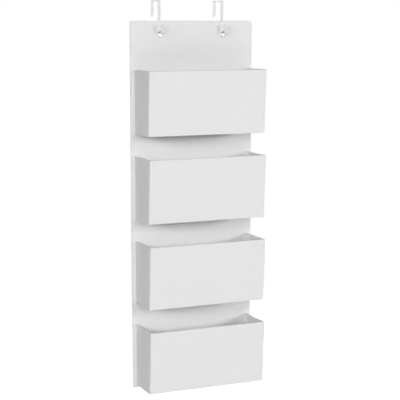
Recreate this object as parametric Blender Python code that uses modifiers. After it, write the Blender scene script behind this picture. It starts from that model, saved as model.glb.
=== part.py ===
"""Over-the-door organizer: a covered back panel, four open pockets, and two strip hooks in eyelets.

Metres, +Z up, +X to the right as seen from the front, and the front faces -Y.
The origin lies midway between the hooks, where a door's front face meets its top edge.
"""
import math

import bmesh
import bpy
from mathutils import Matrix, Vector

# Back panel
PANEL_WIDTH = 0.324
SPACE_OVER_POCKETS = 0.117
SPACE_UNDER_POCKETS = 0.0085
PANEL_CORNER_RADIUS = 0.005
PANEL_BOARD = 0.0022
PANEL_TURNED_EDGE = 0.014

# Pockets
POCKET_COUNT = 4
SPACE_BESIDE_POCKETS = 0.00925
POCKET_HEIGHT = 0.1555
POCKET_SPACING = 0.0545
DEPTH_AT_RIM = 0.105
DEPTH_AT_FLOOR = 0.096
FRONT_CORNER_RADIUS = 0.0022
FRONT_BOARD = 0.002
FRONT_TURNED_EDGE = 0.01
RIM_HEM = 0.012

# Fabrics, and the gap that touching pieces keep
COVER_FABRIC = 0.0008
LINING_FABRIC = 0.0008
GUSSET_FABRIC = 0.0012
FLOOR_FABRIC = 0.0012
SEAT_GAP = 0.0003

# Eyelets and their washers
EYELET_FROM_SIDE = 0.0785
EYELET_BELOW_TOP = 0.0325
EYELET_BORE_RADIUS = 0.005
EYELET_BARREL_WALL = 0.0005
EYELET_FLANGE_RADIUS = 0.0078
EYELET_FLANGE_DOME = 0.0012
EYELET_ROLL_RADIUS = 0.0069
EYELET_ROLL_THICKNESS = 0.0006
WASHER_RADIUS = 0.0076
WASHER_THICKNESS = 0.0005

# Strip hooks
STRIP_WIDTH = 0.007
STRIP_THICKNESS = 0.0015
DOOR_THICKNESS = 0.045
HOOK_RISE = 0.0475
BACK_LEG_LENGTH = 0.038
LIP_LENGTH = 0.009
LIP_SPLAY = 0.004
TOP_BEND_RADIUS = 0.003
LOW_BEND_RADIUS = 0.0024
TONGUE_STANDOFF = 0.012
TONGUE_BELOW_TOP = 0.0085
TONGUE_SPLAY = 0.0025
STRIP_END_RADIUS = 0.0032

# Faces on round shapes
CORNER_STEPS = 6
HEM_STEPS = 6
BEND_STEPS = 6
DOME_STEPS = 6
ROUND_STEPS = 32
MERGE_DISTANCE = 0.00001
SHARP_ANGLE = math.radians(35)

# Sizes that follow from those above
PANEL_HEIGHT = (
    SPACE_OVER_POCKETS
    + POCKET_COUNT * POCKET_HEIGHT
    + (POCKET_COUNT - 1) * POCKET_SPACING
    + SPACE_UNDER_POCKETS
)
POCKET_WIDTH = PANEL_WIDTH - 2 * SPACE_BESIDE_POCKETS
PANEL_THICKNESS = COVER_FABRIC + PANEL_BOARD + LINING_FABRIC + 2 * SEAT_GAP
FRONT_THICKNESS = COVER_FABRIC + FRONT_BOARD + LINING_FABRIC + 2 * SEAT_GAP
FRONT_LEAN = math.atan2(DEPTH_AT_RIM - DEPTH_AT_FLOOR, POCKET_HEIGHT)
EYELET_SPACING = PANEL_WIDTH - 2 * EYELET_FROM_SIDE
EYELET_BARREL_RADIUS = EYELET_BORE_RADIUS + EYELET_BARREL_WALL
EYELET_HOLE_RADIUS = EYELET_BARREL_RADIUS + SEAT_GAP
EYELET_BACK = WASHER_THICKNESS + EYELET_ROLL_THICKNESS + 2 * SEAT_GAP
STRIP_SEAT = math.sqrt((EYELET_BORE_RADIUS - SEAT_GAP) ** 2 - (STRIP_WIDTH / 2) ** 2)
LEG_BEHIND_PANEL = EYELET_BACK + LOW_BEND_RADIUS
PANEL_BACK_Y = -LEG_BEHIND_PANEL - STRIP_THICKNESS / 2
PANEL_TOP_Z = -HOOK_RISE
PANEL_BOTTOM_Z = PANEL_TOP_Z - PANEL_HEIGHT

# A plate drawn in its own XY plane stands upright, with its own +Z towards the viewer
UPRIGHT = Matrix.Rotation(math.radians(90), 4, "X")


def clear_scene():
    """Removes whatever objects the file opened with."""
    for old in list(bpy.data.objects):
        bpy.data.objects.remove(old, do_unlink=True)


def new_collection(name):
    """A collection of that name, linked to the scene."""
    collection = bpy.data.collections.new(name)
    bpy.context.scene.collection.children.link(collection)
    return collection


def new_material(name, colour, roughness, metallic=0.0):
    """A Principled BSDF material of one plain finish."""
    material = bpy.data.materials.new(name)
    material.use_nodes = True
    shader = material.node_tree.nodes["Principled BSDF"]
    shader.inputs["Base Color"].default_value = (*colour, 1.0)
    shader.inputs["Roughness"].default_value = roughness
    shader.inputs["Metallic"].default_value = metallic
    material.diffuse_color = (*colour, 1.0)
    return material


def new_empty(name, matrix, collection, parent=None):
    """An empty that carries other objects; its matrix is in its parent's space."""
    empty = bpy.data.objects.new(name, None)
    collection.objects.link(empty)
    empty.parent = parent
    empty.matrix_local = matrix
    return empty


def new_piece(name, mesh, material, matrix, collection, parent):
    """A named piece of the organizer, with its own material."""
    piece = bpy.data.objects.new(name, mesh.copy())
    piece.data.name = name
    piece.data.materials.clear()
    piece.data.materials.append(material)
    collection.objects.link(piece)
    piece.parent = parent
    piece.matrix_local = matrix
    return piece


def evaluated_mesh(helper):
    """The mesh that a helper object gives after its modifiers. The helper is removed."""
    bpy.context.view_layer.update()
    seen = helper.evaluated_get(bpy.context.evaluated_depsgraph_get())
    mesh = bpy.data.meshes.new_from_object(seen)
    bpy.data.objects.remove(helper, do_unlink=True)
    return mesh


def helper_object(name, data):
    """An object in the scene that is only there to be evaluated or to cut."""
    helper = bpy.data.objects.new(name, data)
    bpy.context.scene.collection.objects.link(helper)
    return helper


def rectangle_outline(low_x, high_x, low_y, high_y, radius):
    """The corners of a rectangle, each rounded to the radius, anticlockwise."""
    radius = max(radius, 0)
    centres = (
        (high_x - radius, low_y + radius, -90),
        (high_x - radius, high_y - radius, 0),
        (low_x + radius, high_y - radius, 90),
        (low_x + radius, low_y + radius, 180),
    )
    steps = CORNER_STEPS if radius > 0 else 0
    points = []
    for x, y, start in centres:
        for step in range(steps + 1):
            angle = math.radians(start + 90 * step / max(steps, 1))
            points.append((x + radius * math.cos(angle), y + radius * math.sin(angle)))
    return points


def plate_mesh(outline, low_z, high_z):
    """A flat plate of that outline, from low_z to high_z in its own frame."""
    curve = bpy.data.curves.new("plate", "CURVE")
    curve.dimensions = "2D"
    curve.fill_mode = "BOTH"
    curve.extrude = (high_z - low_z) / 2
    spline = curve.splines.new("POLY")
    spline.points.add(len(outline) - 1)
    for point, (x, y) in zip(spline.points, outline):
        point.co = (x, y, 0, 1)
    spline.use_cyclic_u = True
    mesh = evaluated_mesh(helper_object("plate", curve))
    bm = bmesh.new()
    bm.from_mesh(mesh)
    bmesh.ops.remove_doubles(bm, verts=bm.verts, dist=MERGE_DISTANCE)
    bmesh.ops.translate(bm, verts=bm.verts, vec=(0, 0, (low_z + high_z) / 2))
    bmesh.ops.recalc_face_normals(bm, faces=bm.faces)
    bm.to_mesh(mesh)
    bm.free()
    return mesh


def cylinder_mesh(radius, low_z, high_z, x, y):
    """An upright cylinder about the local Z axis through (x, y)."""
    mesh = bpy.data.meshes.new("cylinder")
    bm = bmesh.new()
    bmesh.ops.create_cone(
        bm,
        cap_ends=True,
        segments=ROUND_STEPS,
        radius1=radius,
        radius2=radius,
        depth=high_z - low_z,
        matrix=Matrix.Translation((x, y, (low_z + high_z) / 2)),
    )
    bm.to_mesh(mesh)
    bm.free()
    return mesh


def carved_mesh(body, cutters):
    """The body less each cutter."""
    target = helper_object("body", body)
    knives = [helper_object("cutter", cutter) for cutter in cutters]
    for knife in knives:
        carve = target.modifiers.new("carve", "BOOLEAN")
        carve.operation = "DIFFERENCE"
        carve.object = knife
    mesh = evaluated_mesh(target)
    for knife in knives:
        bpy.data.objects.remove(knife, do_unlink=True)
    return mesh


def turned_mesh(profile):
    """A ring turned about the local Z axis from a closed profile of (radius, z) points."""
    mesh = bpy.data.meshes.new("turned")
    bm = bmesh.new()
    corners = [bm.verts.new((radius, 0, z)) for radius, z in profile]
    for here, there in zip(corners, corners[1:] + corners[:1]):
        bm.edges.new((here, there))
    bm.to_mesh(mesh)
    bm.free()
    ring = helper_object("turned", mesh)
    screw = ring.modifiers.new("turn", "SCREW")
    screw.steps = ROUND_STEPS
    screw.render_steps = ROUND_STEPS
    screw.use_merge_vertices = True
    screw.merge_threshold = MERGE_DISTANCE
    turned = evaluated_mesh(ring)
    turned.shade_smooth()
    turned.set_sharp_from_angle(angle=SHARP_ANGLE)
    return turned


def covered_board(width, height, radius, board, turned_edge, holes=()):
    """Cover, board and lining meshes of a stiff panel, which stands on local y = 0 with its back at z = 0.

    The cover wraps the board's front and edges, and turns in behind it as a flat border.
    The lining fills that border. Holes are (x, y) places that eyelets pass through.
    """
    thickness = COVER_FABRIC + board + LINING_FABRIC + 2 * SEAT_GAP

    def inset_outline(inset):
        half = width / 2 - inset
        return rectangle_outline(-half, half, inset, height - inset, radius - inset)

    cover = carved_mesh(
        plate_mesh(inset_outline(0), 0, thickness),
        [
            plate_mesh(inset_outline(COVER_FABRIC), LINING_FABRIC, thickness - COVER_FABRIC),
            plate_mesh(inset_outline(turned_edge), -thickness, LINING_FABRIC + SEAT_GAP),
        ],
    )
    meshes = {
        "cover": cover,
        "board": plate_mesh(
            inset_outline(COVER_FABRIC + SEAT_GAP),
            LINING_FABRIC + SEAT_GAP,
            LINING_FABRIC + SEAT_GAP + board,
        ),
        "lining": plate_mesh(inset_outline(turned_edge + SEAT_GAP), 0, LINING_FABRIC),
    }
    if holes:
        for part, mesh in meshes.items():
            drills = [
                cylinder_mesh(EYELET_HOLE_RADIUS, -thickness, 2 * thickness, x, y)
                for x, y in holes
            ]
            meshes[part] = carved_mesh(mesh, drills)
    return meshes


def front_matrix():
    """Where a pocket's front stands in the pocket's frame: leaning out, its lower outer edge at y = -depth."""
    lean = Matrix.Rotation(math.radians(90) + FRONT_LEAN, 4, "X")
    outward = lean @ Vector((0, 0, FRONT_THICKNESS))
    return Matrix.Translation(Vector((0, -DEPTH_AT_FLOOR, 0)) - outward) @ lean


def front_clearance_cutter():
    """All that lies beyond a pocket's front, from just behind its lining, in the pocket's frame."""
    reach = POCKET_WIDTH
    outline = rectangle_outline(-reach, reach, -POCKET_HEIGHT, 2 * POCKET_HEIGHT, 0)
    mesh = plate_mesh(outline, -SEAT_GAP, DEPTH_AT_RIM)
    mesh.transform(front_matrix())
    return mesh


def gusset_outline(side):
    """A pocket side seen from the front: a sheet whose top is turned over inwards as a hem."""
    outer = side * POCKET_WIDTH / 2
    inner = outer - side * GUSSET_FABRIC
    roll_z = POCKET_HEIGHT - GUSSET_FABRIC
    points = [(inner, 0), (outer, 0)]
    for step in range(HEM_STEPS + 1):
        angle = math.pi * step / HEM_STEPS
        points.append(
            (
                inner + side * GUSSET_FABRIC * math.cos(angle),
                roll_z + GUSSET_FABRIC * math.sin(angle),
            )
        )
    hem_z = POCKET_HEIGHT - RIM_HEM
    points.append((inner - side * GUSSET_FABRIC, hem_z))
    points.append((inner, hem_z))
    return points


def sewn_sheet(outline):
    """A sheet of that section, from the back panel's face to just behind the leaning front."""
    mesh = plate_mesh(outline, SEAT_GAP, DEPTH_AT_RIM)
    mesh.transform(UPRIGHT)
    return carved_mesh(mesh, [front_clearance_cutter()])


def floor_outline():
    """A pocket floor seen from the front, between its gussets."""
    half = POCKET_WIDTH / 2 - GUSSET_FABRIC - SEAT_GAP
    return rectangle_outline(-half, half, 0, FLOOR_FABRIC, 0)


def eyelet_profile():
    """A domed flange on the panel's front, a barrel through it, and a roll that holds the washer."""
    front = PANEL_THICKNESS + SEAT_GAP
    middle = (EYELET_FLANGE_RADIUS + EYELET_BORE_RADIUS) / 2
    half = (EYELET_FLANGE_RADIUS - EYELET_BORE_RADIUS) / 2
    points = []
    for step in range(DOME_STEPS + 1):
        angle = math.pi * (1 - step / DOME_STEPS)
        points.append((middle + half * math.cos(angle), front + EYELET_FLANGE_DOME * math.sin(angle)))
    roll_top = -2 * SEAT_GAP - WASHER_THICKNESS
    points += [
        (EYELET_BARREL_RADIUS, front),
        (EYELET_BARREL_RADIUS, roll_top),
        (EYELET_ROLL_RADIUS, roll_top),
        (EYELET_ROLL_RADIUS, roll_top - EYELET_ROLL_THICKNESS / 2),
        (EYELET_BARREL_RADIUS, roll_top - EYELET_ROLL_THICKNESS),
        (EYELET_BORE_RADIUS, roll_top - EYELET_ROLL_THICKNESS),
    ]
    return points


def washer_profile():
    """A flat ring behind the panel, round the eyelet's barrel."""
    top = -SEAT_GAP
    low = top - WASHER_THICKNESS
    inner = EYELET_BARREL_RADIUS + SEAT_GAP
    return [(inner, top), (WASHER_RADIUS, top), (WASHER_RADIUS, low), (inner, low)]


def bent_path(corners):
    """A path through (y, z, radius) corners, with an arc of that radius at each."""
    ends = (Vector(corners[0][:2]), Vector(corners[-1][:2]))
    points = [ends[0]]
    for before, corner, after in zip(corners, corners[1:], corners[2:]):
        here = Vector(corner[:2])
        back = (Vector(before[:2]) - here).normalized()
        ahead = (Vector(after[:2]) - here).normalized()
        half_angle = back.angle(ahead) / 2
        centre = here + (back + ahead).normalized() * corner[2] / math.sin(half_angle)
        start = here + back * corner[2] / math.tan(half_angle) - centre
        turn = math.pi - 2 * half_angle
        if back.x * ahead.y - back.y * ahead.x > 0:
            turn = -turn
        for step in range(BEND_STEPS + 1):
            angle = turn * step / BEND_STEPS
            spin = Matrix.Rotation(angle, 2)
            points.append(centre + spin @ start)
    return points + [ends[1]]


def hook_corners():
    """The strip's centre line from its tongue to its back lip, as seen from the hook's eyelet centre."""
    leg_y = LEG_BEHIND_PANEL
    back_y = leg_y + DOOR_THICKNESS + STRIP_THICKNESS
    tongue_y = -PANEL_THICKNESS - TONGUE_STANDOFF
    pass_z = STRIP_SEAT - STRIP_THICKNESS / 2
    tip_z = EYELET_BELOW_TOP - TONGUE_BELOW_TOP
    top_z = EYELET_BELOW_TOP + HOOK_RISE + STRIP_THICKNESS / 2
    end_z = EYELET_BELOW_TOP + HOOK_RISE - BACK_LEG_LENGTH
    return (
        (tongue_y - TONGUE_SPLAY, tip_z, 0),
        (tongue_y, pass_z, LOW_BEND_RADIUS),
        (leg_y, pass_z, LOW_BEND_RADIUS),
        (leg_y, top_z, TOP_BEND_RADIUS),
        (back_y, top_z, TOP_BEND_RADIUS),
        (back_y, end_z + LIP_LENGTH, TOP_BEND_RADIUS),
        (back_y + LIP_SPLAY, end_z, 0),
    )


def hook_mesh():
    """A flat strip bent over the door, through the eyelet and up again as a tongue."""
    mesh = bpy.data.meshes.new("hook")
    bm = bmesh.new()
    path = bent_path(hook_corners())
    line = [bm.verts.new((-STRIP_WIDTH / 2, y, z)) for y, z in path]
    edges = [bm.edges.new(pair) for pair in zip(line, line[1:])]
    swept = bmesh.ops.extrude_edge_only(bm, edges=edges)["geom"]
    moved = [item for item in swept if isinstance(item, bmesh.types.BMVert)]
    bmesh.ops.translate(bm, verts=moved, vec=(STRIP_WIDTH, 0, 0))
    corners = [vert for vert in bm.verts if len(vert.link_edges) == 2]
    bmesh.ops.bevel(
        bm,
        geom=corners,
        offset=STRIP_END_RADIUS,
        offset_type="OFFSET",
        segments=CORNER_STEPS,
        profile=0.5,
        affect="VERTICES",
    )
    bmesh.ops.recalc_face_normals(bm, faces=bm.faces)
    bm.to_mesh(mesh)
    bm.free()
    strip = helper_object("strip", mesh)
    thicken = strip.modifiers.new("thicken", "SOLIDIFY")
    thicken.thickness = STRIP_THICKNESS
    thicken.offset = 0
    thicken.use_even_offset = True
    bent = evaluated_mesh(strip)
    bent.shade_smooth()
    bent.set_sharp_from_angle(angle=SHARP_ANGLE)
    return bent


def add_panel(materials, collection):
    """The back panel: cover, stiffening board and lining, pierced for the eyelets."""
    stand = new_empty(
        "panel_frame",
        Matrix.Translation((0, PANEL_BACK_Y, PANEL_BOTTOM_Z)) @ UPRIGHT,
        collection,
    )
    eyelet_y = PANEL_HEIGHT - EYELET_BELOW_TOP
    holes = [(side * EYELET_SPACING / 2, eyelet_y) for side in (-1, 1)]
    layers = covered_board(
        PANEL_WIDTH, PANEL_HEIGHT, PANEL_CORNER_RADIUS, PANEL_BOARD, PANEL_TURNED_EDGE, holes
    )
    for layer, mesh in layers.items():
        new_piece(f"panel_{layer}", mesh, materials[layer], Matrix(), collection, stand)
    return stand


def add_hanging_hardware(stand, materials, collection):
    """An eyelet, its washer and a strip hook at each side."""
    eyelet = turned_mesh(eyelet_profile())
    washer = turned_mesh(washer_profile())
    hook = hook_mesh()
    for word, side in (("left", -1), ("right", 1)):
        x = side * EYELET_SPACING / 2
        place = Matrix.Translation((x, PANEL_HEIGHT - EYELET_BELOW_TOP, 0))
        new_piece(f"{word}_eyelet", eyelet, materials["eyelet"], place, collection, stand)
        new_piece(f"{word}_eyelet_washer", washer, materials["washer"], place, collection, stand)
        pivot = new_empty(
            f"{word}_hook_pivot",
            Matrix.Translation((x, PANEL_BACK_Y, PANEL_TOP_Z - EYELET_BELOW_TOP)),
            collection,
        )
        new_piece(f"{word}_hook", hook, materials["hook"], Matrix(), collection, pivot)


def add_pockets(materials, collection):
    """The pockets, from the top one down: a covered front, two gussets and a floor each."""
    front = covered_board(
        POCKET_WIDTH, POCKET_HEIGHT, FRONT_CORNER_RADIUS, FRONT_BOARD, FRONT_TURNED_EDGE
    )
    sheets = {
        "left_gusset": sewn_sheet(gusset_outline(-1)),
        "right_gusset": sewn_sheet(gusset_outline(1)),
        "floor": sewn_sheet(floor_outline()),
    }
    for number in range(1, POCKET_COUNT + 1):
        rim_z = PANEL_TOP_Z - SPACE_OVER_POCKETS - (number - 1) * (POCKET_HEIGHT + POCKET_SPACING)
        pocket = new_empty(
            f"pocket_{number}_frame",
            Matrix.Translation((0, PANEL_BACK_Y - PANEL_THICKNESS, rim_z - POCKET_HEIGHT)),
            collection,
        )
        slide = new_empty(f"pocket_{number}_slide", front_matrix(), collection, pocket)
        for layer, mesh in front.items():
            name = f"pocket_{number}_front_{layer}"
            new_piece(name, mesh, materials[layer], Matrix(), collection, slide)
        for sheet, mesh in sheets.items():
            name = f"pocket_{number}_{sheet}"
            new_piece(name, mesh, materials[sheet.split("_")[-1]], Matrix(), collection, pocket)


def build():
    """Models the whole organizer."""
    clear_scene()
    collection = new_collection("over_the_door_organizer")
    materials = {
        "cover": new_material("cover_fabric", (0.86, 0.86, 0.86), 0.85),
        "board": new_material("grey_board", (0.42, 0.40, 0.37), 0.9),
        "lining": new_material("lining_fabric", (0.86, 0.86, 0.86), 0.9),
        "gusset": new_material("gusset_fabric", (0.86, 0.86, 0.86), 0.85),
        "floor": new_material("floor_fabric", (0.86, 0.86, 0.86), 0.85),
        "eyelet": new_material("eyelet_nickel", (0.70, 0.69, 0.67), 0.25, 1.0),
        "washer": new_material("washer_nickel", (0.66, 0.65, 0.63), 0.35, 1.0),
        "hook": new_material("hook_enamel", (0.84, 0.84, 0.84), 0.4),
    }
    stand = add_panel(materials, collection)
    add_hanging_hardware(stand, materials, collection)
    add_pockets(materials, collection)


build()
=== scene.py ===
"""Looks of the over-the-door organizer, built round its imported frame.

Metres, +Z up, +X to the right as seen from the front, and the front faces -Y.
"""
import math
from collections import namedtuple

import bmesh
import bpy
from mathutils import Matrix, Vector, noise


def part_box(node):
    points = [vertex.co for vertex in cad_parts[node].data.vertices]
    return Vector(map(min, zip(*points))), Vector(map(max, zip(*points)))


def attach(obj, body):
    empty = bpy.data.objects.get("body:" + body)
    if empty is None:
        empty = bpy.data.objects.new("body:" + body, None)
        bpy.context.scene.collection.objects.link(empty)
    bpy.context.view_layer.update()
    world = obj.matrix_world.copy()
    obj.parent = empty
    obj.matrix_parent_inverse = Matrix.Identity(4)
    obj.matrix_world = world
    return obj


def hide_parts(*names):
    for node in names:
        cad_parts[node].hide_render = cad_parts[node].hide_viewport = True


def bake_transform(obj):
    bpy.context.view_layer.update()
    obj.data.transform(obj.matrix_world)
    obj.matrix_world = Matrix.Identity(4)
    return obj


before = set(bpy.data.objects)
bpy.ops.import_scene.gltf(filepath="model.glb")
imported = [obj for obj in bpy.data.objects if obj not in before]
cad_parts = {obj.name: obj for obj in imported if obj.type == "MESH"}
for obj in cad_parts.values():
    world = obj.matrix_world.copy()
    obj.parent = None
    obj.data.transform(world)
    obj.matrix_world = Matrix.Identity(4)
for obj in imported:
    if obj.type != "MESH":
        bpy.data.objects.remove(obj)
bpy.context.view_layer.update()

# Fabrics, and the gap that touching pieces keep
COVER_FABRIC = 0.0008
LINING_FABRIC = 0.0008
GUSSET_FABRIC = 0.0012
FLOOR_FABRIC = 0.0012
SEAT_GAP = 0.0003

# Pockets, counted from the top, and the two sides with their directions along X
POCKETS = (1, 2, 3, 4)
SIDES = {"left": -1, "right": 1}
DEPTH_AT_RIM = 0.105
DEPTH_AT_FLOOR = 0.096
FRONT_HEIGHT = 0.1555
FRONT_BOARD = 0.002
FRONT_THICKNESS = COVER_FABRIC + FRONT_BOARD + LINING_FABRIC + 2 * SEAT_GAP
FRONT_LEAN = math.atan2(DEPTH_AT_RIM - DEPTH_AT_FLOOR, FRONT_HEIGHT)

# Covered boards: the panel and the fronts
EDGE_RADIUS = 0.0015
PANEL_CORNER_RADIUS = 0.005
FRONT_CORNER_RADIUS = 0.0022
PANEL_TURNED_EDGE = 0.014
FRONT_TURNED_EDGE = 0.01
TURNED_EDGE_SOFTNESS = 0.0003

# How far the boards' faces stand out from flat, and the calm at their edges and eyelets
BOARD_SWAY = 0.00016
BOARD_SWAY_WAVE = 0.075
BOARD_SWAY_FADE = 0.03
EYELET_CALM = 0.012

# Gussets and floors, which have no board. A gusset keeps a step within its solid's outside,
# and its flanges begin a little over the floor.
SIDE_STEP = 0.00015
FLANGE = 0.007
FLANGE_BEND = 0.0014
FLANGE_LIFT = 0.0018
FLANGE_MIDDLE = SEAT_GAP + GUSSET_FABRIC / 2
RIM_HEM = 0.012
GUSSET_BOW = 0.0022
GUSSET_RIPPLE = 0.0004
GUSSET_RIPPLE_WAVE = 0.035
GUSSET_RIPPLES_DEEP = 3
FLOOR_SAG = 0.0008

# Thread
STITCH_LENGTH = 0.0026
STITCH_PITCH = 0.0033
STITCH_RADIUS = 0.00027
STITCH_SINK = 0.0001
STITCH_TIP_SHARE = 0.3
STITCH_GROOVE = 0.00026
STITCH_GROOVE_REACH = 0.0011
PANEL_STITCH_INSET = 0.0052
FRONT_STITCH_INSET = 0.0045
HEM_STITCH_ABOVE_EDGE = 0.002
FLANGE_STITCH_INSET = 0.0035

# Eyelets and their washers
EYELET_BORE_RADIUS = 0.005
EYELET_BARREL_WALL = 0.0005
EYELET_BARREL_RADIUS = EYELET_BORE_RADIUS + EYELET_BARREL_WALL
EYELET_HOLE_RADIUS = EYELET_BARREL_RADIUS + SEAT_GAP
DRILL_REACH = 0.02
EYELET_FLANGE_RADIUS = 0.0078
EYELET_FLANGE_DOME = 0.0012
EYELET_ROLL_RADIUS = 0.0069
EYELET_ROLL_THICKNESS = 0.0006
WASHER_RADIUS = 0.0076
WASHER_THICKNESS = 0.0005
WASHER_EDGE_RADIUS = 0.00015

# Hooks
HOOK_EDGE_RADIUS = 0.00028
HOOK_EDGE_ANGLE = math.radians(40)
HOOK_FLAT_ANGLE = math.radians(1)

# Faces: how far apart their corners are, and how many make a round
CLOTH_PITCH = 0.0065
GUSSET_PITCH = 0.005
BOARD_GRID_INSET = 0.0145
SHEET_GRID_INSET = 0.004
CORNER_STEPS = 6
EDGE_STEPS = 4
STITCH_SIDES = 6
HOLE_STEPS = 48
DOME_STEPS = 12
TURN_STEPS = 72
HOOK_EDGE_STEPS = 3
MERGE_DISTANCE = 0.000001
SHARP_ANGLE = math.radians(50)

# Seeds of the cloth's sway and ripple, which differ from pocket to pocket by its number
PANEL_COVER_SEED = 3.0
PANEL_LINING_SEED = 7.0
FRONT_COVER_SEED = 11.0
FRONT_LINING_SEED = 21.0
GUSSET_SEED = 31.0

# Nonwoven cloth: its bonds' pitch in millimetres, their rim in pitches, and reliefs as shares
BOND_PITCH = 1.7
BOND_UNEVENNESS = 0.08
BOND_RIM = (0.16, 0.36)
BOND_RELIEF = 0.7
FIBRE_RELIEF = 0.55

# Ranges of a noise that a material spreads out
FULL_RANGE = (0.0, 1.0)
NOISE_MOST = (0.2, 0.8)
NOISE_MIDDLE = (0.3, 0.7)

# Camera
CAMERA_PLACE = (-1.16006, -2.75919, -0.05131)
CAMERA_YAW = 0.4056
CAMERA_TILT = 0.14639
CAMERA_FOCUS_PIXELS = 1204.99
PICTURE_PIXELS = 400
SENSOR = 36.0

# Floor and sky, where a glow of 1 is seen as white
WHITE = (1, 1, 1, 1)
FLOOR_Z = -2.03
FLOOR_REACH = 5.0
FLOOR_COLOUR = (0.8, 0.8, 0.8, 1)
FLOOR_GLOW = 0.88
SKY_LIGHT = 0.1
SKY_GLOW = 1.0

# Lamps: azimuth and height in degrees as seen from the organizer's middle, and power in watts
LAMPS = {
    "left_lamp": (-50, 15, 149.0),
    "front_lamp": (-14, 10, 103.0),
    "right_lamp": (45, 10, 175.0),
    "back_lamp": (180, 25, 280.0),
}
LAMP_WIDTH = 3.8
LAMP_HEIGHT = 1.3
LAMP_DISTANCE = 7.0
LAMP_AIM = (0, 0, -0.45)

# A flat piece made lying down is stood up, with its top side to the front
UPRIGHT = Matrix.Rotation(math.radians(90), 4, "X")
MILLIMETRES = 1000

# Places read from the frame
PANEL_FACE_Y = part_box("panel_cover")[0].y
PANEL_BACK_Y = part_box("panel_cover")[1].y
GUSSET_OUTER_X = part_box("pocket_1_right_gusset")[1].x - SIDE_STEP

# A line round a sheet: its inset from the edge, how far out it is, and its share of the sway
Ring = namedtuple("Ring", "inset out share")

# A spot on a gusset's path: how far inwards it is, its share of the depth, how far out it is
# from there, and the direction that the gusset's inner face looks in, inwards and out
Spot = namedtuple("Spot", "inwards share out turn_in turn_out")


# Nodes

def set_inputs(tree, node, inputs):
    """Sets a node's inputs, each to a value or to another node's output."""
    for name, value in inputs.items():
        if isinstance(value, bpy.types.NodeSocket):
            tree.links.new(value, node.inputs[name])
        else:
            node.inputs[name].default_value = value


def add_node(tree, kind, inputs=None, **settings):
    """A new shader node with its settings and its inputs."""
    node = tree.nodes.new(kind)
    for name, value in settings.items():
        setattr(node, name, value)
    set_inputs(tree, node, inputs or {})
    return node


def new_material(name):
    """A material, its node tree and its Principled BSDF."""
    material = bpy.data.materials.new(name)
    material.use_nodes = True
    tree = material.node_tree
    return material, tree, tree.nodes["Principled BSDF"]


def object_metres(tree):
    """Places on the object in metres."""
    return add_node(tree, "ShaderNodeTexCoord").outputs["Object"]


def cloth_millimetres(tree, turn=0.0):
    """Places on the flat cloth in millimetres, turned by an angle."""
    where = add_node(tree, "ShaderNodeUVMap", uv_map="cloth")
    mapping = add_node(
        tree,
        "ShaderNodeMapping",
        {
            "Vector": where.outputs["UV"],
            "Rotation": (0, 0, turn),
            "Scale": (MILLIMETRES, MILLIMETRES, MILLIMETRES),
        },
    )
    return mapping.outputs["Vector"]


def scaled_noise(tree, vector, scale, detail, rough):
    """The factor of a noise texture, about 0 to 1 round a half."""
    node = add_node(
        tree,
        "ShaderNodeTexNoise",
        {"Vector": vector, "Scale": scale, "Detail": detail, "Roughness": rough},
    )
    return node.outputs["Fac"]


def remapped(tree, value, source, target):
    """The value moved from its source range to a target range, smoothly and not past its ends."""
    node = add_node(
        tree,
        "ShaderNodeMapRange",
        {
            "Value": value,
            "From Min": source[0],
            "From Max": source[1],
            "To Min": target[0],
            "To Max": target[1],
        },
        interpolation_type="SMOOTHSTEP",
    )
    return node.outputs["Result"]


def combined(tree, operation, first, second):
    """Two values multiplied or added, or the larger of them."""
    return add_node(tree, "ShaderNodeMath", {0: first, 1: second}, operation=operation).outputs[0]


def product(tree, first, second):
    """Two values multiplied."""
    return combined(tree, "MULTIPLY", first, second)


def total(tree, first, second):
    """Two values added."""
    return combined(tree, "ADD", first, second)


def shaded(tree, colour, shade):
    """The colour times a shade value."""
    node = add_node(tree, "ShaderNodeVectorMath", {0: colour, "Scale": shade}, operation="SCALE")
    return node.outputs["Vector"]


def bumped(tree, height, strength, distance):
    """The normal of a surface that stands out with the height, by up to a distance in metres."""
    node = add_node(
        tree,
        "ShaderNodeBump",
        {"Height": height, "Strength": strength, "Distance": distance},
    )
    return node.outputs["Normal"]


# Materials

def grey(level):
    """A neutral colour."""
    return (level, level, level)


def nonwoven(name, colour):
    """Spunbond cloth: matted fibres, pressed together at small points in diagonal rows."""
    material, tree, shader = new_material(name)
    place = cloth_millimetres(tree)
    bond = add_node(
        tree,
        "ShaderNodeTexVoronoi",
        {
            "Vector": cloth_millimetres(tree, turn=math.radians(45)),
            "Scale": 1 / BOND_PITCH,
            "Randomness": BOND_UNEVENNESS,
        },
        voronoi_dimensions="2D",
    )
    raised = remapped(tree, bond.outputs["Distance"], BOND_RIM, FULL_RANGE)
    fibres = scaled_noise(tree, place, scale=2.6, detail=3.0, rough=0.65)
    clouds = scaled_noise(tree, place, scale=0.035, detail=4.0, rough=0.6)
    shade = product(
        tree,
        remapped(tree, clouds, NOISE_MIDDLE, (0.992, 1.004)),
        product(
            tree,
            remapped(tree, raised, FULL_RANGE, (0.965, 1.0)),
            remapped(tree, fibres, NOISE_MOST, (0.985, 1.01)),
        ),
    )
    rough = total(
        tree,
        remapped(tree, raised, FULL_RANGE, (0.62, 0.78)),
        remapped(tree, fibres, NOISE_MOST, (0.0, 0.14)),
    )
    height = total(
        tree,
        product(tree, raised, BOND_RELIEF),
        product(tree, fibres, FIBRE_RELIEF),
    )
    set_inputs(
        tree,
        shader,
        {
            "Base Color": shaded(tree, colour, shade),
            "Roughness": rough,
            "Normal": bumped(tree, height, strength=0.35, distance=0.00012),
            "Sheen Weight": 0.06,
            "Sheen Roughness": 0.5,
            "Specular IOR Level": 0.25,
        },
    )
    return material


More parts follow.
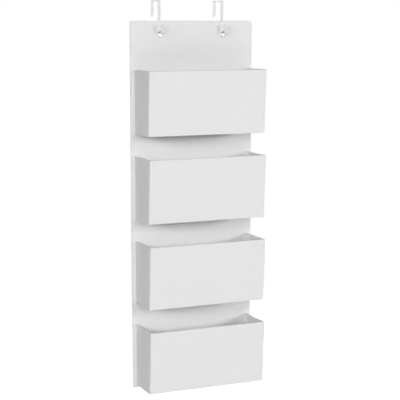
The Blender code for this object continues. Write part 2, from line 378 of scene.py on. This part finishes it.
def thread(name, colour):
    """Twisted sewing thread."""
    material, tree, shader = new_material(name)
    twist = add_node(
        tree,
        "ShaderNodeTexWave",
        {"Vector": object_metres(tree), "Scale": 900.0, "Distortion": 1.5, "Detail": 1.0},
        bands_direction="DIAGONAL",
    ).outputs["Fac"]
    set_inputs(
        tree,
        shader,
        {
            "Base Color": shaded(tree, colour, remapped(tree, twist, FULL_RANGE, (0.9, 1.02))),
            "Roughness": 0.5,
            "Normal": bumped(tree, twist, strength=0.4, distance=0.00005),
            "Sheen Weight": 0.1,
        },
    )
    return material


def grey_board(name, colour):
    """Raw pressed board, with fibres and flecks."""
    material, tree, shader = new_material(name)
    place = object_metres(tree)
    fibres = scaled_noise(tree, place, scale=420.0, detail=4.0, rough=0.7)
    flecks = scaled_noise(tree, place, scale=90.0, detail=2.0, rough=0.5)
    shade = product(
        tree,
        remapped(tree, fibres, (0.25, 0.75), (0.86, 1.1)),
        remapped(tree, flecks, (0.62, 0.7), (1.0, 0.8)),
    )
    set_inputs(
        tree,
        shader,
        {
            "Base Color": shaded(tree, colour, shade),
            "Roughness": remapped(tree, fibres, NOISE_MOST, (0.8, 0.97)),
            "Normal": bumped(tree, fibres, strength=0.5, distance=0.0002),
        },
    )
    return material


def enamel(name, colour):
    """Satin powder baked on steel: a faint orange peel, and a little unevenness in its gloss."""
    material, tree, shader = new_material(name)
    place = object_metres(tree)
    peel = scaled_noise(tree, place, scale=700.0, detail=2.0, rough=0.5)
    patches = scaled_noise(tree, place, scale=60.0, detail=4.0, rough=0.6)
    shade = remapped(tree, patches, NOISE_MIDDLE, (0.97, 1.01))
    set_inputs(
        tree,
        shader,
        {
            "Base Color": shaded(tree, colour, shade),
            "Roughness": remapped(tree, patches, NOISE_MIDDLE, (0.46, 0.62)),
            "Normal": bumped(tree, peel, strength=0.25, distance=0.00008),
            "Specular IOR Level": 0.35,
        },
    )
    return material


def plated(name, colour, rough_range):
    """Nickel plating with fine tool marks and dull patches."""
    material, tree, shader = new_material(name)
    place = object_metres(tree)
    marks = scaled_noise(tree, place, scale=1500.0, detail=3.0, rough=0.6)
    patches = scaled_noise(tree, place, scale=260.0, detail=3.0, rough=0.6)
    shade = remapped(tree, patches, NOISE_MIDDLE, (0.86, 1.04))
    set_inputs(
        tree,
        shader,
        {
            "Base Color": shaded(tree, colour, shade),
            "Roughness": remapped(tree, patches, NOISE_MIDDLE, rough_range),
            "Normal": bumped(tree, marks, strength=0.2, distance=0.00003),
            "Metallic": 1.0,
        },
    )
    return material


def make_materials():
    """The organizer's materials by their use."""
    return {
        # The cloths are one white nonwoven in copies of different lightness: the panel, lining and
        # gusset copies are set lighter than the fronts' as painted fill light for the shade under
        # and inside the pockets.
        "panel": nonwoven("panel_cloth", grey(0.915)),
        "cover": nonwoven("front_cloth", grey(0.88)),
        "lining": nonwoven("lining_cloth", grey(0.94)),
        "gusset": nonwoven("gusset_cloth", grey(0.91)),
        "thread": thread("white_thread", grey(0.9)),
        "board": grey_board("pressed_board", (0.42, 0.40, 0.37)),
        "enamel": enamel("white_enamel", grey(0.84)),
        "eyelet": plated("nickel", (0.48, 0.47, 0.45), rough_range=(0.24, 0.42)),
        "washer": plated("dull_nickel", (0.5, 0.49, 0.47), rough_range=(0.35, 0.55)),
    }


# Cloth

def smooth_share(value, low, high):
    """0 up to low and 1 from high on, with a smooth rise between them."""
    share = min(max((value - low) / (high - low), 0), 1)
    return share * share * (3 - 2 * share)


def spaced(low, high, pitch):
    """Evenly spaced values from low to high, about a pitch apart."""
    steps = max(1, round((high - low) / pitch))
    return [low + (high - low) * step / steps for step in range(steps + 1)]


def quarter_turn():
    """Angles from 0 to 90 degrees, in the steps of a sheet's edge."""
    return [math.radians(90) * step / EDGE_STEPS for step in range(EDGE_STEPS + 1)]


def arc(middle_r, middle_z, radius_r, radius_z, start, end, steps):
    """Points (r, z) along part of an ellipse, from a start to an end angle in degrees."""
    points = []
    for step in range(steps + 1):
        angle = math.radians(start + (end - start) * step / steps)
        r = middle_r + radius_r * math.cos(angle)
        z = middle_z + radius_z * math.sin(angle)
        points.append((r, z))
    return points


def grid_places(width, height, grid_inset):
    """Where a sheet's grid lines cross its width and its height."""
    return (
        spaced(grid_inset - width / 2, width / 2 - grid_inset, CLOTH_PITCH),
        spaced(grid_inset - height / 2, height / 2 - grid_inset, CLOTH_PITCH),
    )


def rounded_outline(width, height, radius, inset, grid_inset):
    """Points round a rounded rectangle centred on (0, 0), at an inset from its edge, anticlockwise.

    Points on the straight sides keep their places whatever the inset, so outlines join in quads.
    """
    bend = max(radius - inset, 0)
    half_x = width / 2 - inset
    half_y = height / 2 - inset
    across, up = grid_places(width, height, grid_inset)
    sides = (
        [(half_x, y) for y in up],
        [(x, half_y) for x in reversed(across)],
        [(-half_x, y) for y in reversed(up)],
        [(x, -half_y) for x in across],
    )
    corner_x = half_x - bend
    corner_y = half_y - bend
    corners = (
        (corner_x, corner_y, 0),
        (-corner_x, corner_y, 90),
        (-corner_x, -corner_y, 180),
        (corner_x, -corner_y, 270),
    )
    points = []
    for side, (x, y, start) in zip(sides, corners):
        points += side
        for step in range(CORNER_STEPS + 1):
            angle = math.radians(start + 90 * step / CORNER_STEPS)
            points.append((x + bend * math.cos(angle), y + bend * math.sin(angle)))
    return points


def mesh_of(bm, name):
    """The bmesh as a new mesh. The bmesh is freed."""
    mesh = bpy.data.meshes.new(name)
    bm.to_mesh(mesh)
    bm.free()
    return mesh


def linked(name, data):
    """A new object in the scene, of a mesh, a camera or a lamp."""
    made = bpy.data.objects.new(name, data)
    bpy.context.scene.collection.objects.link(made)
    return made


def bored(mesh, holes):
    """The mesh with a round eyelet hole through it along Z at each (x, y) place."""
    for x, y in holes:
        drill = bmesh.new()
        bmesh.ops.create_cone(
            drill,
            cap_ends=True,
            segments=HOLE_STEPS,
            radius1=EYELET_HOLE_RADIUS,
            radius2=EYELET_HOLE_RADIUS,
            depth=DRILL_REACH,
            matrix=Matrix.Translation((x, y, 0)),
        )
        knife = linked("drill", mesh_of(drill, "drill"))
        block = linked("block", mesh)
        cut = block.modifiers.new("cut", "BOOLEAN")
        cut.operation = "DIFFERENCE"
        cut.object = knife
        bpy.context.view_layer.update()
        seen = block.evaluated_get(bpy.context.evaluated_depsgraph_get())
        mesh = bpy.data.meshes.new_from_object(seen)
        for helper in (knife, block):
            bpy.data.objects.remove(helper, do_unlink=True)
    return mesh


class Cloth:
    """A piece of cloth in the making: its points, their places on the flat cloth, and stitches."""

    def __init__(self):
        self.bm = bmesh.new()
        self.flat = self.bm.loops.layers.uv.new("cloth")
        self.places = {}
        self.thread = bmesh.new()

    def point(self, where, place):
        """A corner of the cloth, and its place on the flat cloth."""
        vert = self.bm.verts.new(where)
        self.places[vert] = place
        return vert

    def face(self, corners):
        """A face of the cloth between corners."""
        face = self.bm.faces.new(corners)
        for loop in face.loops:
            loop[self.flat].uv = self.places[loop.vert]

    def sheet(self, rows, closed=False):
        """Quads between rows of corners; closed joins each row's end to its start."""
        for low, high in zip(rows, rows[1:]):
            count = len(low) if closed else len(low) - 1
            for i in range(count):
                j = (i + 1) % len(low)
                self.face((low[i], low[j], high[j], high[i]))

    def stitch(self, middle, along, out):
        """One stitch: a grain of thread, half sunk into the cloth."""
        along = along.normalized()
        across = along.cross(out).normalized()
        middle = middle - out * STITCH_SINK
        tip = along * STITCH_LENGTH / 2
        loops = []
        for share in (-STITCH_TIP_SHARE, STITCH_TIP_SHARE):
            loop = []
            for step in range(STITCH_SIDES):
                angle = 2 * math.pi * step / STITCH_SIDES
                swell = across * math.cos(angle) + out * math.sin(angle)
                where = middle + 2 * tip * share + swell * STITCH_RADIUS
                loop.append(self.thread.verts.new(where))
            loops.append(loop)
        first, second = loops
        start = self.thread.verts.new(middle - tip)
        end = self.thread.verts.new(middle + tip)
        for step in range(STITCH_SIDES):
            after = (step + 1) % STITCH_SIDES
            self.thread.faces.new((start, first[after], first[step]))
            self.thread.faces.new((first[step], first[after], second[after], second[step]))
            self.thread.faces.new((end, second[step], second[after]))

    def stitches(self, line, out):
        """Stitches a pitch apart along a line of points, on the side that looks out."""
        walked = 0.0
        due = STITCH_PITCH / 2
        for here, there in zip(line, line[1:]):
            span = there - here
            while span.length > 0 and due <= walked + span.length:
                self.stitch(here + span * ((due - walked) / span.length), span, out)
                due += STITCH_PITCH
            walked += span.length

    def piece(self, name, fabric, seam, matrix=Matrix(), holes=()):
        """The finished object: the sheet, with its holes bored, and its stitches."""
        bmesh.ops.remove_doubles(self.bm, verts=self.bm.verts, dist=MERGE_DISTANCE)
        bmesh.ops.recalc_face_normals(self.bm, faces=self.bm.faces)
        for face in self.thread.faces:
            face.material_index = 1
        sheet = bored(mesh_of(self.bm, "sheet"), holes)
        whole = bmesh.new()
        whole.from_mesh(sheet)
        whole.from_mesh(mesh_of(self.thread, "thread"))
        mesh = mesh_of(whole, name)
        mesh.transform(matrix)
        mesh.materials.append(fabric)
        mesh.materials.append(seam)
        mesh.shade_smooth()
        mesh.set_sharp_from_angle(angle=SHARP_ANGLE)
        return linked(name, mesh)


def ringed(cloth, width, height, radius, rings, sway, both_faces):
    """A closed sheet with a grid at the first ring, which follows the rings round its edge.

    It ends in a grid too, or in one flat face that isn't seen.
    """
    grid_inset = rings[0].inset
    across, up = grid_places(width, height, grid_inset)

    def grid(level, flat_shift):
        return [
            [
                cloth.point((x, y, level.out + level.share * sway(x, y)), (x + flat_shift, y))
                for x in across
            ]
            for y in up
        ]

    cloth.sheet(grid(rings[0], 0))
    rows = []
    before = rings[0]
    flat_inset = grid_inset
    for here in rings:
        flat_inset -= math.hypot(here.inset - before.inset, here.out - before.out)
        before = here
        outline = rounded_outline(width, height, radius, here.inset, grid_inset)
        flats = rounded_outline(width, height, radius, flat_inset, grid_inset)
        rows.append(
            [
                cloth.point((x, y, here.out + here.share * sway(x, y)), flat)
                for (x, y), flat in zip(outline, flats)
            ]
        )
    cloth.sheet(rows, closed=True)
    if both_faces:
        cloth.sheet(grid(rings[-1], width))
    else:
        cloth.face(rows[-1])


def groove_rings(middle, out, inward):
    """The shallow groove that a row of stitches pulls into a face, from the inside outwards."""
    reach = STITCH_GROOVE_REACH
    depth = STITCH_GROOVE * inward
    return [
        Ring(middle + reach, out, 0),
        Ring(middle + reach / 2, out + depth / 2, 0),
        Ring(middle, out + depth, 0),
        Ring(middle - reach / 2, out + depth / 2, 0),
        Ring(middle - reach, out, 0),
    ]


def edge_rings(thickness, radius):
    """The rings round a sheet's edge, from its front to its back."""
    turn = quarter_turn()
    front = [
        Ring(radius - radius * math.sin(a), thickness - radius + radius * math.cos(a), 0)
        for a in turn
    ]
    back = [Ring(radius - radius * math.cos(a), radius - radius * math.sin(a), 0) for a in turn]
    return front + back


def cover_rings(thickness, stitch_inset, turned_edge):
    """A cover from its front over the edge to its turned border behind, and back round the board."""
    soft = TURNED_EDGE_SOFTNESS
    inner = COVER_FABRIC
    return (
        [Ring(BOARD_GRID_INSET, thickness, 1)]
        + groove_rings(stitch_inset, thickness, -1)
        + edge_rings(thickness, EDGE_RADIUS)
        + groove_rings(stitch_inset, 0, 1)[::-1]
        + [
            Ring(turned_edge - soft, 0, 0),
            Ring(turned_edge, soft, 0),
            Ring(turned_edge, inner, 0),
            Ring(inner, inner, 0),
            Ring(inner, thickness - inner, 0),
        ]
    )


def sheet_rings(thickness):
    """A plain sheet from its front to its back, both of them grids."""
    return (
        [Ring(SHEET_GRID_INSET, thickness, 1)]
        + edge_rings(thickness, TURNED_EDGE_SOFTNESS)
        + [Ring(SHEET_GRID_INSET, 0, 1)]
    )


def board_sway(width, height, seed, calm_places):
    """How far a board's face stands out from flat: nothing at its edge and round its eyelets."""

    def sway(x, y):
        from_edge = min(width / 2 - abs(x), height / 2 - abs(y))
        share = smooth_share(from_edge, PANEL_STITCH_INSET, BOARD_SWAY_FADE)
        for calm_x, calm_y in calm_places:
            away = math.hypot(x - calm_x, y - calm_y)
            share *= smooth_share(away, EYELET_CALM, 2 * EYELET_CALM)
        where = Vector((x / BOARD_SWAY_WAVE, y / BOARD_SWAY_WAVE, seed))
        return BOARD_SWAY * share * noise.noise(where)

    return sway


def covered_board(
    name, size, matrix, materials, radius, turned_edge, stitch_inset, seed, holes=()
):
    """The cloth cover of a board, stitched through near its edge. The matrix places its back."""
    width, height, thickness = size
    cloth = Cloth()
    rings = cover_rings(thickness, stitch_inset, turned_edge)
    sway = board_sway(width, height, seed, holes)
    ringed(cloth, width, height, radius, rings, sway, both_faces=False)
    line = rounded_outline(width, height, radius, stitch_inset, BOARD_GRID_INSET)
    for out, level in ((1, thickness - STITCH_GROOVE), (-1, STITCH_GROOVE)):
        points = [Vector((x, y, level)) for x, y in line + line[:1]]
        cloth.stitches(points, Vector((0, 0, out)))
    return cloth.piece(name, materials["cover"], materials["thread"], matrix, holes)


def lining_sheet(name, size, matrix, materials, turned_edge, seed, holes=()):
    """The sheet behind a board of that size, inside the cover's turned border."""
    inset = turned_edge + SEAT_GAP
    width = size[0] - 2 * inset
    height = size[1] - 2 * inset
    cloth = Cloth()
    sway = board_sway(width, height, seed, holes)

    def shallow(x, y):
        return sway(x, y) / 2

    ringed(cloth, width, height, 0, sheet_rings(LINING_FABRIC), shallow, both_faces=True)
    return cloth.piece(name, materials["lining"], materials["thread"], matrix, holes)


def replace_node(piece, node, body):
    """The piece stands for the CAD node and rides on its body."""
    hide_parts(node)
    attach(piece, body)


def eyelet_place(word):
    """The middle of an eyelet in the frame, as (x, z)."""
    low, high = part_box(f"{word}_eyelet")
    return (low.x + high.x) / 2, (low.z + high.z) / 2


def panel_pieces(materials):
    """The panel's cover and its lining, both drilled for the eyelets."""
    low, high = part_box("panel_cover")
    size = (high.x - low.x, high.z - low.z, high.y - low.y)
    middle_z = (low.z + high.z) / 2
    matrix = Matrix.Translation((0, high.y, middle_z)) @ UPRIGHT
    holes = [(x, z - middle_z) for x, z in map(eyelet_place, SIDES)]
    cover = covered_board(
        "panel_sewn_cover",
        size,
        matrix,
        {"cover": materials["panel"], "thread": materials["thread"]},
        radius=PANEL_CORNER_RADIUS,
        turned_edge=PANEL_TURNED_EDGE,
        stitch_inset=PANEL_STITCH_INSET,
        seed=PANEL_COVER_SEED,
        holes=holes,
    )
    replace_node(cover, "panel_cover", "panel")
    lining = lining_sheet(
        "panel_back_lining",
        size,
        matrix,
        materials,
        turned_edge=PANEL_TURNED_EDGE,
        seed=PANEL_LINING_SEED,
        holes=holes,
    )
    replace_node(lining, "panel_lining", "panel")


def front_matrix(number):
    """Places a pocket's front by the middle of its back, leaning out towards the rim."""
    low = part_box(f"pocket_{number}_front_cover")[0]
    lean = Matrix.Rotation(math.radians(90) + FRONT_LEAN, 4, "X")
    up = lean @ Vector((0, 1, 0))
    top_outer = Vector((0, low.y, low.z + FRONT_HEIGHT * math.cos(FRONT_LEAN)))
    outward = lean @ Vector((0, 0, FRONT_THICKNESS))
    return Matrix.Translation(top_outer - outward - up * FRONT_HEIGHT / 2) @ lean


def front_pieces(number, materials):
    """A pocket front's cover and its lining."""
    low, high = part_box(f"pocket_{number}_front_cover")
    size = (high.x - low.x, FRONT_HEIGHT, FRONT_THICKNESS)
    matrix = front_matrix(number)
    body = f"pocket_{number}_front"
    cover = covered_board(
        f"pocket_{number}_front_sewn_cover",
        size,
        matrix,
        materials,
        radius=FRONT_CORNER_RADIUS,
        turned_edge=FRONT_TURNED_EDGE,
        stitch_inset=FRONT_STITCH_INSET,
        seed=FRONT_COVER_SEED + number,
    )
    replace_node(cover, f"pocket_{number}_front_cover", body)
    lining = lining_sheet(
        f"pocket_{number}_front_inner_lining",
        size,
        matrix,
        materials,
        turned_edge=FRONT_TURNED_EDGE,
        seed=FRONT_LINING_SEED + number,
    )
    replace_node(lining, f"pocket_{number}_front_lining", body)


def pocket_depth(number):
    """From the panel's face to the back of a pocket's front, at the pocket's floor."""
    low = front_matrix(number) @ Vector((0, -FRONT_HEIGHT / 2, 0))
    return PANEL_FACE_Y - low.y


def gusset_section():
    """Round a gusset's cut, as (inward offset, height): its outside, its hem and its inside."""
    half = GUSSET_FABRIC / 2
    roll_z = FRONT_HEIGHT - GUSSET_FABRIC
    hem_z = FRONT_HEIGHT - RIM_HEM
    stitch_z = hem_z + HEM_STITCH_ABOVE_EDGE
    reach = STITCH_GROOVE_REACH
    low = spaced(0, hem_z, GUSSET_PITCH)[:-1]
    outside = [(-half, z) for z in low]
    outside += [
        (-half, stitch_z - reach),
        (-half + STITCH_GROOVE, stitch_z),
        (-half, stitch_z + reach),
    ]
    fold = arc(half, roll_z, GUSSET_FABRIC, GUSSET_FABRIC, 180, 0, 2 * EDGE_STEPS)
    hem_inner = half + GUSSET_FABRIC
    hem = [
        (hem_inner, stitch_z + reach),
        (hem_inner - STITCH_GROOVE, stitch_z),
        (hem_inner, stitch_z - reach),
        (hem_inner - TURNED_EDGE_SOFTNESS, hem_z),
        (half, hem_z),
    ]
    inside = [(half, z) for z in reversed(low)]
    return outside + fold + hem + inside


def gusset_path(steps):
    """A gusset seen from above, from its flange on the panel to its flange on the front."""
    bend = FLANGE_BEND
    rear = [Spot(FLANGE, 0, FLANGE_MIDDLE, 0, 1)]
    for angle in quarter_turn():
        turn_in = math.sin(angle)
        turn_out = math.cos(angle)
        out = FLANGE_MIDDLE + bend - bend * turn_out
        rear.append(Spot(bend - bend * turn_in, 0, out, turn_in, turn_out))
    middle = []
    for step in range(1, steps):
        share = step / steps
        middle.append(Spot(0, share, (FLANGE_MIDDLE + bend) * (1 - 2 * share), 1, 0))
    fore = [
        Spot(spot.inwards, 1, -spot.out, spot.turn_in, -spot.turn_out) for spot in reversed(rear)
    ]
    return rear + middle + fore


def gusset_placing(number, side):
    """A function that places a gusset's point from its spot, its offset inwards and its height."""
    floor_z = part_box(f"pocket_{number}_front_cover")[0].z
    depth = pocket_depth(number)
    seed = GUSSET_SEED + 2 * number + side
    middle_x = GUSSET_OUTER_X - GUSSET_FABRIC / 2

    def place(spot, offset, height):
        reach = depth + height * math.tan(FRONT_LEAN)
        rise = smooth_share(height, 0, FRONT_HEIGHT)
        above_floor = smooth_share(height, 0, RIM_HEM)
        swell = math.sin(math.pi * spot.share) ** 2
        wave = Vector((spot.share * GUSSET_RIPPLES_DEEP, height / GUSSET_RIPPLE_WAVE, seed))
        ripple = GUSSET_RIPPLE * noise.noise(wave) * above_floor
        bow = swell * (GUSSET_BOW * rise + ripple)
        lift = FLANGE_LIFT * smooth_share(1 - abs(spot.turn_in), 0, 1)
        return Vector(
            (
                side * (middle_x - spot.inwards - bow - spot.turn_in * offset),
                PANEL_FACE_Y - spot.share * reach - spot.out - spot.turn_out * offset,
                floor_z + max(height, lift),
            )
        )

    return place


def gusset_sheet(cloth, path, place):
    """A gusset's cloth: a closed sleeve of its section along its path."""
    section = gusset_section()
    rows = []
    along = 0.0
    before = place(path[0], 0, 0)
    for spot in path:
        here = place(spot, 0, 0)
        along += (here - before).length
        before = here
        row = []
        round_cut = 0.0
        last = section[0]
        for offset, height in section:
            round_cut += math.hypot(offset - last[0], height - last[1])
            last = (offset, height)
            row.append(cloth.point(place(spot, offset, height), (along, round_cut)))
        rows.append(row)
    cloth.sheet(rows, closed=True)
    cloth.face(rows[0])
    cloth.face(rows[-1])


def gusset_stitches(cloth, path, place, side):
    """A row of stitches on each face of a gusset's hem, and one down each flange."""
    half = GUSSET_FABRIC / 2
    stitch_z = FRONT_HEIGHT - RIM_HEM + HEM_STITCH_ABOVE_EDGE
    hem_inner = half + GUSSET_FABRIC
    straight = [spot for spot in path if spot.turn_in == 1]
    for offset, out in ((STITCH_GROOVE - half, side), (hem_inner - STITCH_GROOVE, -side)):
        line = [place(spot, offset, stitch_z) for spot in straight]
        cloth.stitches(line, Vector((out, 0, 0)))
    heights = spaced(FLANGE_LIFT, FRONT_HEIGHT - RIM_HEM, GUSSET_PITCH)
    for share, towards in ((0, 1), (1, -1)):
        spot = Spot(FLANGE_STITCH_INSET, share, towards * FLANGE_MIDDLE, 0, towards)
        line = [place(spot, half, height) for height in heights]
        cloth.stitches(line, Vector((0, -towards, 0)))


def sew_in(piece, node):
    """The cloth stands for the CAD node, with its placing baked into its mesh."""
    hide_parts(node)
    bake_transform(piece)


def gusset_piece(number, word, side, materials):
    """A pocket's side, from flange to flange, with its hem stitched down."""
    depth = pocket_depth(number)
    path = gusset_path(round(depth / GUSSET_PITCH))
    place = gusset_placing(number, side)
    cloth = Cloth()
    gusset_sheet(cloth, path, place)
    gusset_stitches(cloth, path, place, side)
    name = f"pocket_{number}_{word}_side_cloth"
    gusset = cloth.piece(name, materials["gusset"], materials["thread"])
    sew_in(gusset, f"pocket_{number}_{word}_gusset")


def floor_piece(number, materials):
    """A pocket's floor, a soft sheet that sags a little between its seams."""
    low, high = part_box(f"pocket_{number}_floor")
    width = high.x - low.x
    depth = pocket_depth(number) - 2 * SEAT_GAP

    def sag(x, y):
        across = math.cos(math.pi * x / width)
        along = math.cos(math.pi * y / depth)
        return -FLOOR_SAG * across * along

    cloth = Cloth()
    ringed(cloth, width, depth, 0, sheet_rings(FLOOR_FABRIC), sag, both_faces=True)
    line = rounded_outline(width, depth, 0, FLANGE_STITCH_INSET, SHEET_GRID_INSET)
    points = [Vector((x, y, sag(x, y))) for x, y in line + line[:1]]
    cloth.stitches(points, Vector((0, 0, -1)))
    middle = Matrix.Translation((0, PANEL_FACE_Y - SEAT_GAP - depth / 2, low.z))
    name = f"pocket_{number}_floor_cloth"
    floor = cloth.piece(name, materials["gusset"], materials["thread"], middle)
    sew_in(floor, f"pocket_{number}_floor")


# Metal and boards

def rounded_hook(word, material):
    """The hook with its strip's edges rounded, as paint and deburring leave them."""
    node = f"{word}_hook"
    name = f"{word}_painted_hook"
    bm = bmesh.new()
    bm.from_mesh(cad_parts[node].data)
    bmesh.ops.remove_doubles(bm, verts=bm.verts, dist=MERGE_DISTANCE)
    bmesh.ops.dissolve_limit(bm, angle_limit=HOOK_FLAT_ANGLE, verts=bm.verts, edges=bm.edges)
    hook = linked(name, mesh_of(bm, name))
    hook.data.materials.append(material)
    bevel = hook.modifiers.new("round", "BEVEL")
    bevel.width = HOOK_EDGE_RADIUS
    bevel.segments = HOOK_EDGE_STEPS
    bevel.limit_method = "ANGLE"
    bevel.angle_limit = HOOK_EDGE_ANGLE
    hook.data.shade_smooth()
    hook.data.set_sharp_from_angle(angle=HOOK_EDGE_ANGLE)
    replace_node(hook, node, f"{word}_hook")


def eyelet_profile():
    """Round an eyelet's cut, with z from the panel's back to its face: flange, barrel and roll."""
    face_z = PANEL_BACK_Y - PANEL_FACE_Y + SEAT_GAP
    roll_half = EYELET_ROLL_THICKNESS / 2
    roll_z = -2 * SEAT_GAP - WASHER_THICKNESS - roll_half
    middle = (EYELET_FLANGE_RADIUS + EYELET_BORE_RADIUS) / 2
    half = (EYELET_FLANGE_RADIUS - EYELET_BORE_RADIUS) / 2
    roll_reach = EYELET_ROLL_RADIUS - EYELET_BARREL_RADIUS
    flange = arc(middle, face_z, half, EYELET_FLANGE_DOME, 180, 0, DOME_STEPS)
    roll = arc(EYELET_BARREL_RADIUS, roll_z, roll_reach, roll_half, 90, -90, DOME_STEPS)
    lip = (EYELET_BORE_RADIUS, roll_z - roll_half / 2)
    return flange + [(EYELET_BARREL_RADIUS, face_z)] + roll + [lip]


def washer_profile():
    """Round a washer's cut: a flat ring with its edges broken."""
    edge = WASHER_EDGE_RADIUS
    high = -SEAT_GAP - edge
    low = -SEAT_GAP - WASHER_THICKNESS + edge
    inner = EYELET_BARREL_RADIUS + SEAT_GAP + edge
    outer = WASHER_RADIUS - edge
    profile = []
    for r, z, start in ((inner, high, 180), (outer, high, 90), (outer, low, 0), (inner, low, -90)):
        profile += arc(r, z, edge, edge, start, start - 90, EDGE_STEPS)
    return profile


def turned(name, profile, place, material):
    """A ring of metal turned from its profile, upright at the place."""
    bm = bmesh.new()
    rows = []
    for step in range(TURN_STEPS):
        angle = 2 * math.pi * step / TURN_STEPS
        rows.append(
            [bm.verts.new((r * math.cos(angle), r * math.sin(angle), z)) for r, z in profile]
        )
    for low, high in zip(rows, rows[1:] + rows[:1]):
        for i in range(len(profile)):
            j = (i + 1) % len(profile)
            bm.faces.new((low[i], low[j], high[j], high[i]))
    bmesh.ops.recalc_face_normals(bm, faces=bm.faces)
    mesh = mesh_of(bm, name)
    mesh.transform(Matrix.Translation(place) @ UPRIGHT)
    mesh.materials.append(material)
    mesh.shade_smooth()
    mesh.set_sharp_from_angle(angle=SHARP_ANGLE)
    return linked(name, mesh)


def eyelet_pieces(word, materials):
    """An eyelet set in the panel, and the washer that it is closed over behind."""
    x, z = eyelet_place(word)
    middle = (x, PANEL_BACK_Y, z)
    eyelet = turned(f"{word}_set_eyelet", eyelet_profile(), middle, materials["eyelet"])
    replace_node(eyelet, f"{word}_eyelet", "panel")
    washer = turned(f"{word}_flat_washer", washer_profile(), middle, materials["washer"])
    replace_node(washer, f"{word}_eyelet_washer", "panel")


def finish_board(node, materials):
    """A CAD board, which stays as it is and gets its finished material."""
    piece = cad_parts[node]
    piece.data.materials.clear()
    piece.data.materials.append(materials["board"])


# Surroundings

def add_camera():
    """The camera where the photograph was taken from, tilted down to see the whole organizer."""
    data = bpy.data.cameras.new("camera")
    data.sensor_width = SENSOR
    data.lens = CAMERA_FOCUS_PIXELS / PICTURE_PIXELS * SENSOR
    camera = linked("camera", data)
    camera.location = CAMERA_PLACE
    camera.rotation_euler = (math.pi / 2 - CAMERA_TILT, 0, -CAMERA_YAW)
    bpy.context.scene.camera = camera


def seen_directly(tree):
    """1 for what the camera, a mirror or glass shows, and 0 for light on the way to a surface."""
    path = add_node(tree, "ShaderNodeLightPath").outputs
    either = combined(tree, "MAXIMUM", path["Is Camera Ray"], path["Is Glossy Ray"])
    return combined(tree, "MAXIMUM", either, path["Is Transmission Ray"])


def glow(tree, unseen, seen):
    """A strength that is one value where it lights the object, and another where it is seen."""
    node = add_node(
        tree,
        "ShaderNodeMapRange",
        {"Value": seen_directly(tree), "To Min": unseen, "To Max": seen},
    )
    return node.outputs["Result"]


def add_world():
    """White to look at, and a plain even light on the object."""
    world = bpy.data.worlds.new("studio")
    world.use_nodes = True
    tree = world.node_tree
    strength = glow(tree, SKY_LIGHT, SKY_GLOW)
    set_inputs(tree, tree.nodes["Background"], {"Color": WHITE, "Strength": strength})
    bpy.context.scene.world = world


def add_floor():
    """A plain white floor at the foot of the door, which keeps the organizer's shadow."""
    mesh = bpy.data.meshes.new("floor")
    corners = [
        (x * FLOOR_REACH, y * FLOOR_REACH, FLOOR_Z)
        for x, y in ((-1, -1), (1, -1), (1, 1), (-1, 1))
    ]
    mesh.from_pydata(corners, [], [(0, 1, 2, 3)])
    material, tree, shader = new_material("studio_floor")
    set_inputs(
        tree,
        shader,
        {
            "Base Color": FLOOR_COLOUR,
            "Roughness": 1.0,
            "Specular IOR Level": 0.0,
            "Emission Color": WHITE,
            "Emission Strength": glow(tree, 0.0, FLOOR_GLOW),
        },
    )
    mesh.materials.append(material)
    linked("floor", mesh)


def add_lamps():
    """Wide, low soft lamps in a half ring in front, and one behind for the organizer's back."""
    for name, (azimuth, height, power) in LAMPS.items():
        turn = math.radians(azimuth)
        rise = math.radians(height)
        away = Vector(
            (
                math.sin(turn) * math.cos(rise),
                -math.cos(turn) * math.cos(rise),
                math.sin(rise),
            )
        )
        data = bpy.data.lights.new(name, "AREA")
        data.shape = "ELLIPSE"
        data.size = LAMP_WIDTH
        data.size_y = LAMP_HEIGHT
        data.energy = power
        lamp = linked(name, data)
        lamp.location = Vector(LAMP_AIM) + away * LAMP_DISTANCE
        lamp.rotation_mode = "QUATERNION"
        lamp.rotation_quaternion = (-away).to_track_quat("-Z", "Y")


def build():
    """Sets the surroundings, then dresses every piece of the organizer."""
    add_camera()
    add_world()
    add_floor()
    add_lamps()
    materials = make_materials()
    panel_pieces(materials)
    finish_board("panel_board", materials)
    for word in SIDES:
        rounded_hook(word, materials["enamel"])
        eyelet_pieces(word, materials)
    for number in POCKETS:
        front_pieces(number, materials)
        finish_board(f"pocket_{number}_front_board", materials)
        for word, side in SIDES.items():
            gusset_piece(number, word, side, materials)
        floor_piece(number, materials)
    bpy.context.scene.view_settings.view_transform = "Standard"


build()
